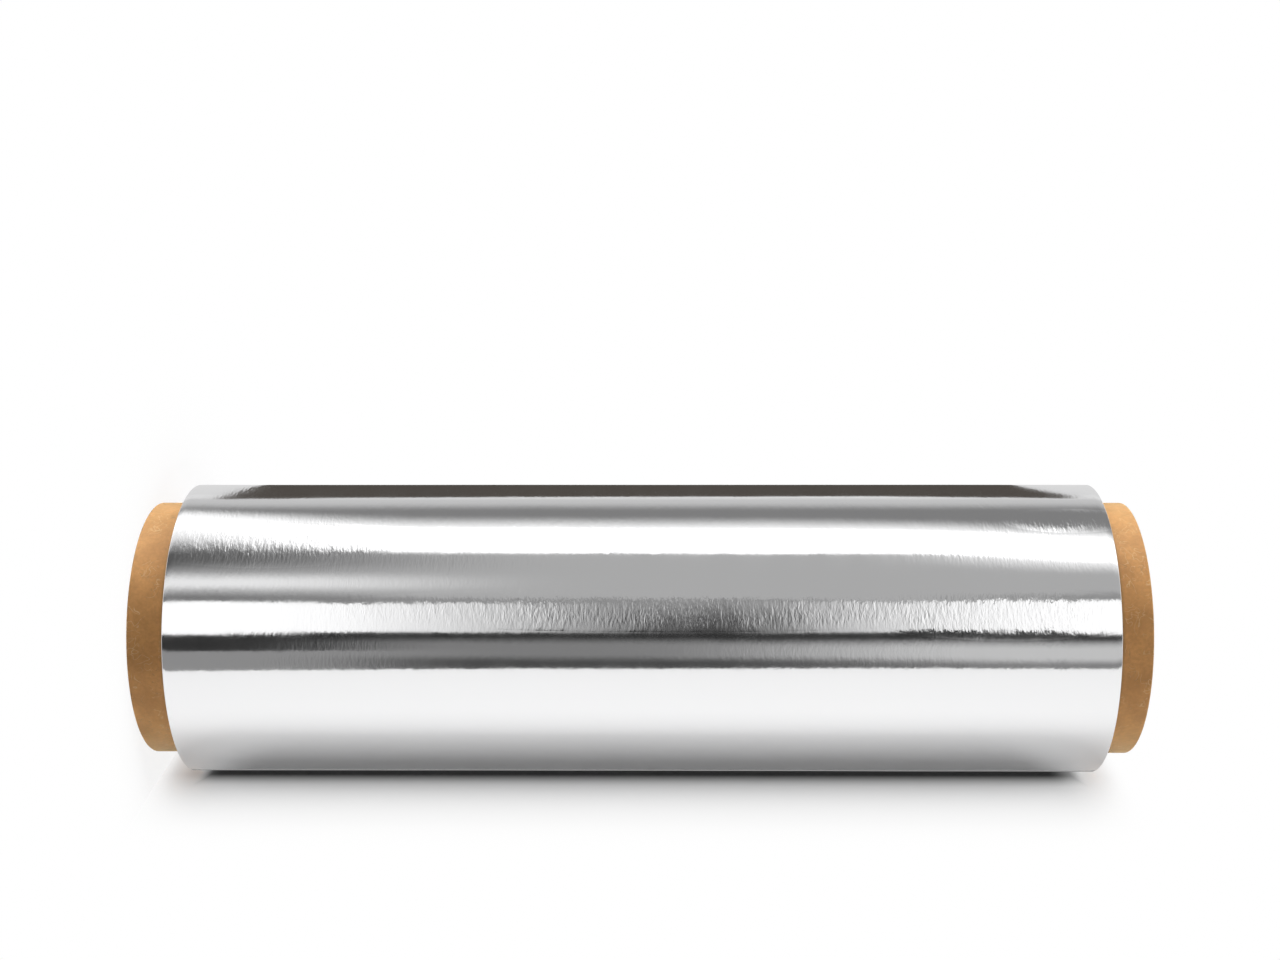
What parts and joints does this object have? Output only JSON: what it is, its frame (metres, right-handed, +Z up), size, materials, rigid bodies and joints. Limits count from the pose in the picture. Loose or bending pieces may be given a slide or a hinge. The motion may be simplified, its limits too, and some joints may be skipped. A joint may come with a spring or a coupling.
{
  "type": "aluminium foil roll",
  "caption": "Wide roll of aluminium foil wound tight on a kraft paper tube whose open ends stand out past the foil; it stands on one tube end.",
  "frame": {"origin": "on the roll's axis, in the plane of the tube's lower end, which it stands on", "axes": "+Z up along the roll's axis and its bore; +X and +Y across it; the foil's free end lies at 150 degrees from +X"},
  "size_m": [0.0964, 0.0965, 0.3245],
  "materials": {
    "kraft_tube": "natural brown kraft paper, matt, with small fibres and specks",
    "foil": "bright side out, mirror-like, with fine creases round the roll"
  },
  "bodies": {
    "root": {"core_tube": "kraft_tube", "foil_winding": "foil"}
  },
  "joints": []
}
